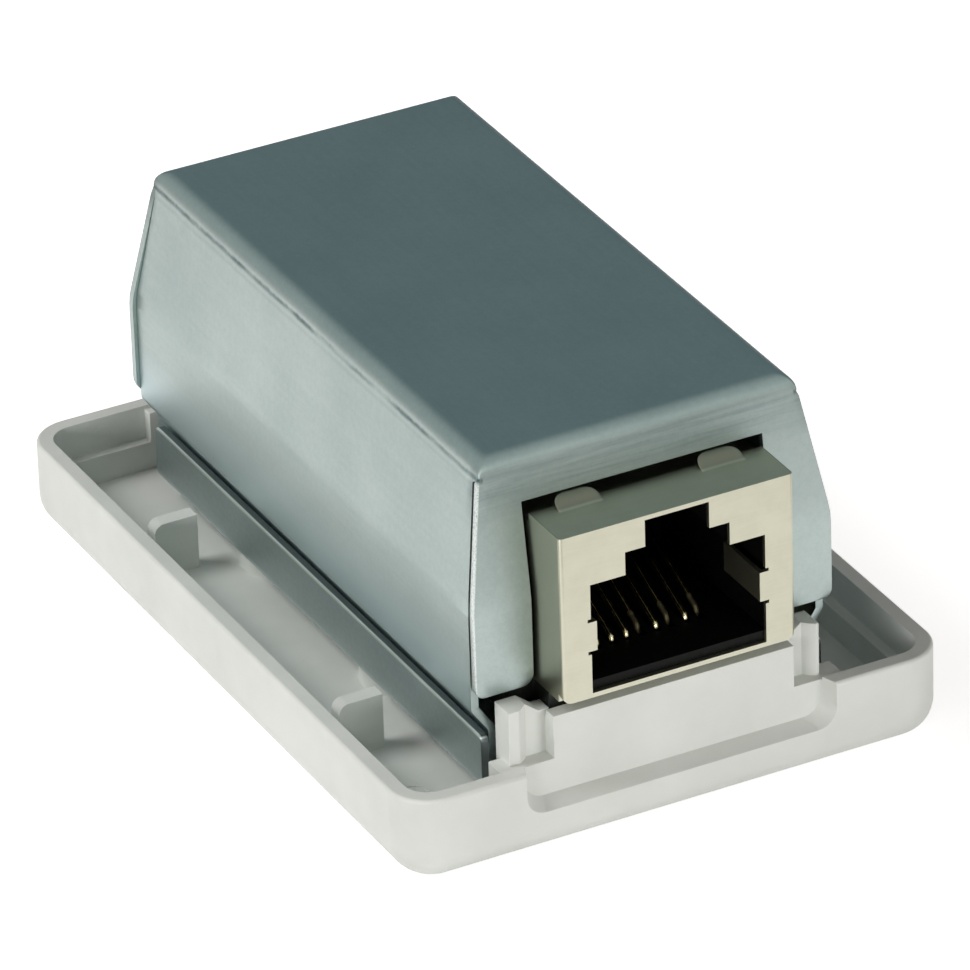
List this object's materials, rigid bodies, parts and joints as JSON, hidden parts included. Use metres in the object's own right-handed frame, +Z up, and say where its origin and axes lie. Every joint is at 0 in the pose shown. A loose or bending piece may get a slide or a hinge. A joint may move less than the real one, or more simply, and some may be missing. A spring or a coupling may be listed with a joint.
{
  "type": "surface mount jack box",
  "caption": "Shielded surface mount data outlet box with its outer cover off: moulded base tray, folded steel channel and shield cover, and a shielded modular jack at the front.",
  "frame": {"origin": "centre of the base tray's underside", "axes": "+X to the right seen from the jack's side, +Y to the rear where the cable enters, +Z up away from the wall or floor; the jack looks along -Y"},
  "size_m": [0.0372, 0.054, 0.0252],
  "materials": {
    "base_plastic": "light grey moulded plastic, satin",
    "cover_steel": "zinc-plated sheet steel, dull, pale blue-grey",
    "tray_steel": "zinc-plated sheet steel, dull",
    "jack_tin": "tin-plated brass sheet, satin, slightly warm",
    "insert_plastic": "black moulded plastic",
    "contact_gold": "gold-plated bronze wire, bright",
    "board_laminate": "glass fibre laminate with green lacquer",
    "block_plastic": "white moulded plastic",
    "fork_bronze": "tin-plated bronze sheet",
    "spacer_steel": "nickel-plated turned tube",
    "screw_steel": "nickel-plated steel",
    "clamp_steel": "zinc-plated sheet steel"
  },
  "bodies": {
    "base": {"base_tray": "base_plastic", "shield_tray": "tray_steel", "jack_shield": "jack_tin", "jack_insert": "insert_plastic", "jack_contact_1": "contact_gold", "jack_contact_2": "contact_gold", "jack_contact_3": "contact_gold", "jack_contact_4": "contact_gold", "jack_contact_5": "contact_gold", "jack_contact_6": "contact_gold", "jack_contact_7": "contact_gold", "jack_contact_8": "contact_gold", "circuit_board": "board_laminate", "idc_block_left": "block_plastic", "idc_block_right": "block_plastic", "idc_contact_1": "fork_bronze", "idc_contact_2": "fork_bronze", "idc_contact_3": "fork_bronze", "idc_contact_4": "fork_bronze", "idc_contact_5": "fork_bronze", "idc_contact_6": "fork_bronze", "idc_contact_7": "fork_bronze", "idc_contact_8": "fork_bronze", "board_spacer_1": "spacer_steel", "board_spacer_2": "spacer_steel", "board_spacer_3": "spacer_steel", "board_spacer_4": "spacer_steel", "board_screw_1": "screw_steel", "board_screw_2": "screw_steel", "board_screw_3": "screw_steel", "board_screw_4": "screw_steel", "clamp_screw_1": "screw_steel", "clamp_screw_2": "screw_steel", "cable_clamp": "clamp_steel"},
    "cover": {"shield_cover": "cover_steel"}
  },
  "joints": [
    {"name": "cover_lift", "type": "slide", "parent": "base", "child": "cover", "axis": [0, 0, 1], "range_m": [0, 0.02]}
  ]
}
